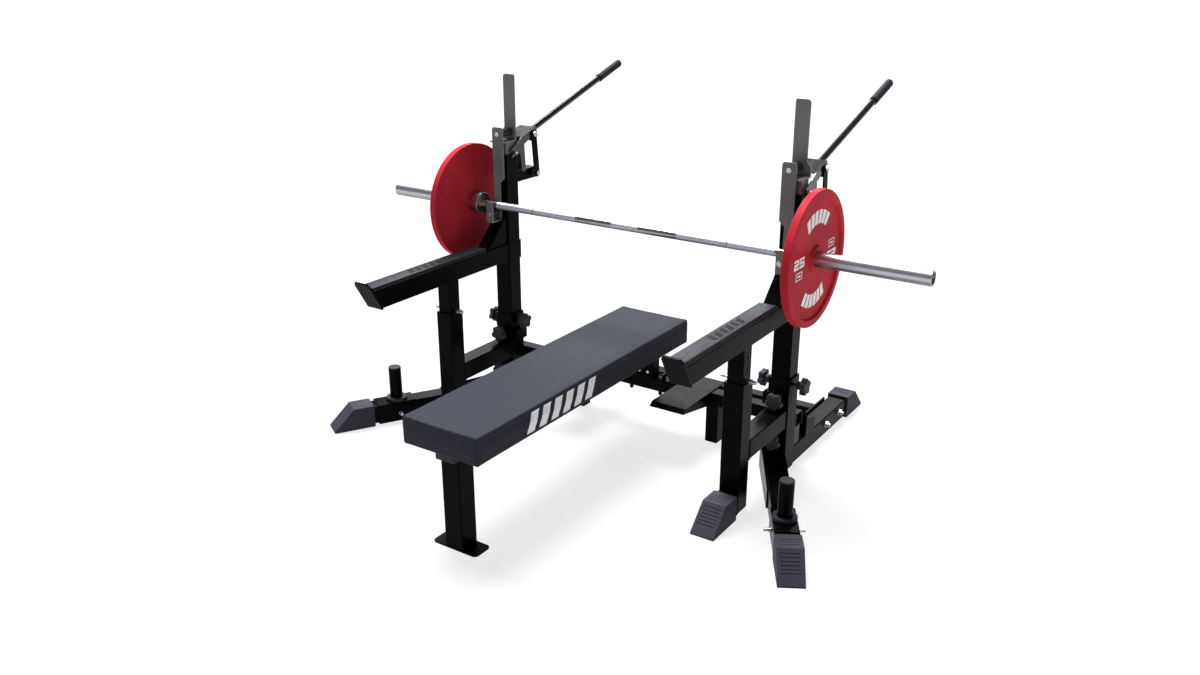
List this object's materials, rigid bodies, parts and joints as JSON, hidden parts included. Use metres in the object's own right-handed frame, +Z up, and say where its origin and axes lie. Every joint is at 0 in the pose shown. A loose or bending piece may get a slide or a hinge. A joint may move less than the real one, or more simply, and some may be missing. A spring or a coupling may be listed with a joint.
{
  "type": "olympic bench press",
  "caption": "Competition bench press rack with telescopic uprights, safety arms, lever-raised bar hooks, spotter platforms and a flat bench, with a loaded bar racked.",
  "frame": {"origin": "centre of the bounding box in plan, on the floor", "axes": "+X along the bar, +Y from the foot of the bench towards the rack, +Z up"},
  "size_m": [2.2, 1.9081, 1.3],
  "materials": {
    "frame_black": "glossy black powder coat",
    "hook_grey": "satin grey",
    "link_dark": "dark grey satin",
    "zinc": "bright zinc",
    "roller_dark": "satin",
    "arm_pad": "matt, faintly ribbed",
    "grip_rubber": "matt",
    "sleeve_chrome": "satin chrome",
    "shaft_chrome": "satin chrome with knurled zones",
    "plate_red": "satin red",
    "knob_grey": "matt",
    "foot_rubber": "matt",
    "cap_grey": "matt",
    "pad_vinyl": "matt textured vinyl",
    "bush_brass": "satin"
  },
  "bodies": {
    "base": {"bench_pad": "pad_vinyl", "bench_beam": "frame_black", "bench_end_cap": "cap_grey", "bench_front_post": "frame_black", "front_beam": "frame_black", "rear_beam": "frame_black", "platforms": "frame_black", "frame_bolts": "zinc", "rubber_feet": "foot_rubber", "storage_rings": "cap_grey", "lower_upright_right": "frame_black", "lower_upright_left": "frame_black", "rear_leg_right": "frame_black", "rear_leg_left": "frame_black", "front_post_right": "frame_black", "front_post_left": "frame_black", "outer_leg_right": "frame_black", "outer_leg_left": "frame_black", "storage_sleeve_right": "frame_black", "storage_sleeve_left": "frame_black"},
    "lift_right": {"upright_right": "frame_black", "safety_arm_right": "frame_black", "arm_pad_right": "arm_pad"},
    "carriage_right": {"mast_right": "hook_grey", "hook_pins_right": "zinc"},
    "link_right": {"link_bars_right": "link_dark", "link_bolts_right": "zinc"},
    "lever_right": {"lever_right": "frame_black", "lever_grip_right": "grip_rubber"},
    "upper_roller_right": {"upper_roller_right": "roller_dark"},
    "lower_roller_right": {"lower_roller_right": "roller_dark"},
    "post_pin_right": {"post_pin_right": "zinc"},
    "leg_pin_right": {"leg_pin_right": "zinc"},
    "sleeve_right": {"bar_sleeve_right": "sleeve_chrome"},
    "plate_right": {"plate_right": "plate_red"},
    "knob_outer_right": {"knob_outer_right": "knob_grey"},
    "knob_inner_right": {"knob_inner_right": "knob_grey"},
    "knob_high_right": {"knob_high_right": "knob_grey"},
    "knob_low_right": {"knob_low_right": "knob_grey"},
    "lift_left": {"upright_left": "frame_black", "safety_arm_left": "frame_black", "arm_pad_left": "arm_pad"},
    "carriage_left": {"mast_left": "hook_grey", "hook_pins_left": "zinc"},
    "link_left": {"link_bars_left": "link_dark", "link_bolts_left": "zinc"},
    "lever_left": {"lever_left": "frame_black", "lever_grip_left": "grip_rubber"},
    "upper_roller_left": {"upper_roller_left": "roller_dark"},
    "lower_roller_left": {"lower_roller_left": "roller_dark"},
    "post_pin_left": {"post_pin_left": "zinc"},
    "leg_pin_left": {"leg_pin_left": "zinc"},
    "sleeve_left": {"bar_sleeve_left": "sleeve_chrome"},
    "plate_left": {"plate_left": "plate_red"},
    "knob_outer_left": {"knob_outer_left": "knob_grey"},
    "knob_inner_left": {"knob_inner_left": "knob_grey"},
    "knob_high_left": {"knob_high_left": "knob_grey"},
    "knob_low_left": {"knob_low_left": "knob_grey"},
    "barbell": {"bar_shaft": "shaft_chrome", "bar_bushes": "bush_brass"}
  },
  "joints": [
    {"name": "frame_lift_right", "type": "slide", "parent": "base", "child": "lift_right", "axis": [0, 0, 1], "range_m": [0, 0.2]},
    {"name": "frame_lift_left", "type": "slide", "parent": "base", "child": "lift_left", "axis": [0, 0, 1], "range_m": [0, 0.2]},
    {"name": "link_right_rock", "type": "hinge", "parent": "lift_right", "child": "link_right", "pos_m": [0.605, 0.29, 0.908], "axis": [-1, 0, 0], "range_deg": [0, 3.4]},
    {"name": "lever_right_pull", "type": "hinge", "parent": "link_right", "child": "lever_right", "pos_m": [0.605, 0.274, 1.064], "axis": [-1, 0, 0], "range_deg": [0, 24]},
    {"name": "carriage_right_lift", "type": "slide", "parent": "lift_right", "child": "carriage_right", "axis": [0, 0, 1], "range_m": [0, 0.0638]},
    {"name": "link_left_rock", "type": "hinge", "parent": "lift_left", "child": "link_left", "pos_m": [-0.605, 0.29, 0.908], "axis": [-1, 0, 0], "range_deg": [0, 3.4]},
    {"name": "lever_left_pull", "type": "hinge", "parent": "link_left", "child": "lever_left", "pos_m": [-0.605, 0.274, 1.064], "axis": [-1, 0, 0], "range_deg": [0, 24]},
    {"name": "carriage_left_lift", "type": "slide", "parent": "lift_left", "child": "carriage_left", "axis": [0, 0, 1], "range_m": [0, 0.0638]},
    {"name": "barbell_lift_off", "type": "slide", "parent": "carriage_right", "child": "barbell", "axis": [0, 0, 1], "range_m": [0, 0.3]},
    {"name": "sleeve_right_spin", "type": "hinge", "parent": "barbell", "child": "sleeve_right", "pos_m": [0.655, 0.065, 0.8175], "axis": [1, 0, 0], "continuous": true},
    {"name": "plate_right_slide_off", "type": "slide", "parent": "sleeve_right", "child": "plate_right", "axis": [1, 0, 0], "range_m": [0, 0.4]},
    {"name": "upper_roller_right_spin", "type": "hinge", "parent": "carriage_right", "child": "upper_roller_right", "pos_m": [0.5977, 0.1345, 1.0845], "axis": [0, 1, 0], "continuous": true},
    {"name": "lower_roller_right_spin", "type": "hinge", "parent": "carriage_right", "child": "lower_roller_right", "pos_m": [0.607, 0.071, 0.78795], "axis": [0, 1, 0], "continuous": true},
    {"name": "post_pin_right_pull", "type": "slide", "parent": "lift_right", "child": "post_pin_right", "axis": [1, 0, 0], "range_m": [0, 0.105]},
    {"name": "leg_pin_right_pull", "type": "slide", "parent": "base", "child": "leg_pin_right", "axis": [-0.866, -0.5, 0], "range_m": [0, 0.11]},
    {"name": "knob_outer_right_turn", "type": "hinge", "parent": "base", "child": "knob_outer_right", "pos_m": [0.665, 0.145, 0.335], "axis": [1, 0, 0], "continuous": true},
    {"name": "knob_inner_right_turn", "type": "hinge", "parent": "base", "child": "knob_inner_right", "pos_m": [0.545, 0.145, 0.335], "axis": [-1, 0, 0], "continuous": true},
    {"name": "knob_high_right_turn", "type": "hinge", "parent": "base", "child": "knob_high_right", "pos_m": [0.605, 0.085, 0.286], "axis": [0, -1, 0], "continuous": true},
    {"name": "knob_low_right_turn", "type": "hinge", "parent": "base", "child": "knob_low_right", "pos_m": [0.605, 0.085, 0.134], "axis": [0, -1, 0], "continuous": true},
    {"name": "sleeve_left_spin", "type": "hinge", "parent": "barbell", "child": "sleeve_left", "pos_m": [-0.655, 0.065, 0.8175], "axis": [1, 0, 0], "continuous": true},
    {"name": "plate_left_slide_off", "type": "slide", "parent": "sleeve_left", "child": "plate_left", "axis": [-1, 0, 0], "range_m": [0, 0.4]},
    {"name": "upper_roller_left_spin", "type": "hinge", "parent": "carriage_left", "child": "upper_roller_left", "pos_m": [-0.5977, 0.1345, 1.0845], "axis": [0, 1, 0], "continuous": true},
    {"name": "lower_roller_left_spin", "type": "hinge", "parent": "carriage_left", "child": "lower_roller_left", "pos_m": [-0.607, 0.071, 0.78795], "axis": [0, 1, 0], "continuous": true},
    {"name": "post_pin_left_pull", "type": "slide", "parent": "lift_left", "child": "post_pin_left", "axis": [1, 0, 0], "range_m": [0, 0.105]},
    {"name": "leg_pin_left_pull", "type": "slide", "parent": "base", "child": "leg_pin_left", "axis": [0.866, -0.5, 0], "range_m": [0, 0.11]},
    {"name": "knob_outer_left_turn", "type": "hinge", "parent": "base", "child": "knob_outer_left", "pos_m": [-0.665, 0.145, 0.335], "axis": [-1, 0, 0], "continuous": true},
    {"name": "knob_inner_left_turn", "type": "hinge", "parent": "base", "child": "knob_inner_left", "pos_m": [-0.545, 0.145, 0.335], "axis": [1, 0, 0], "continuous": true},
    {"name": "knob_high_left_turn", "type": "hinge", "parent": "base", "child": "knob_high_left", "pos_m": [-0.605, 0.085, 0.286], "axis": [0, -1, 0], "continuous": true},
    {"name": "knob_low_left_turn", "type": "hinge", "parent": "base", "child": "knob_low_left", "pos_m": [-0.605, 0.085, 0.134], "axis": [0, -1, 0], "continuous": true}
  ],
  "couplings": [
    {"joint": "frame_lift_left", "follows": "frame_lift_right", "ratio": 1},
    {"joint": "lever_left_pull", "follows": "lever_right_pull", "ratio": 1},
    {"joint": "link_right_rock", "follows": "lever_right_pull", "ratio": 0.14},
    {"joint": "carriage_right_lift", "follows": "lever_right_pull", "m_per_rad": 0.152},
    {"joint": "link_left_rock", "follows": "lever_right_pull", "ratio": 0.14},
    {"joint": "carriage_left_lift", "follows": "lever_right_pull", "m_per_rad": 0.152}
  ]
}
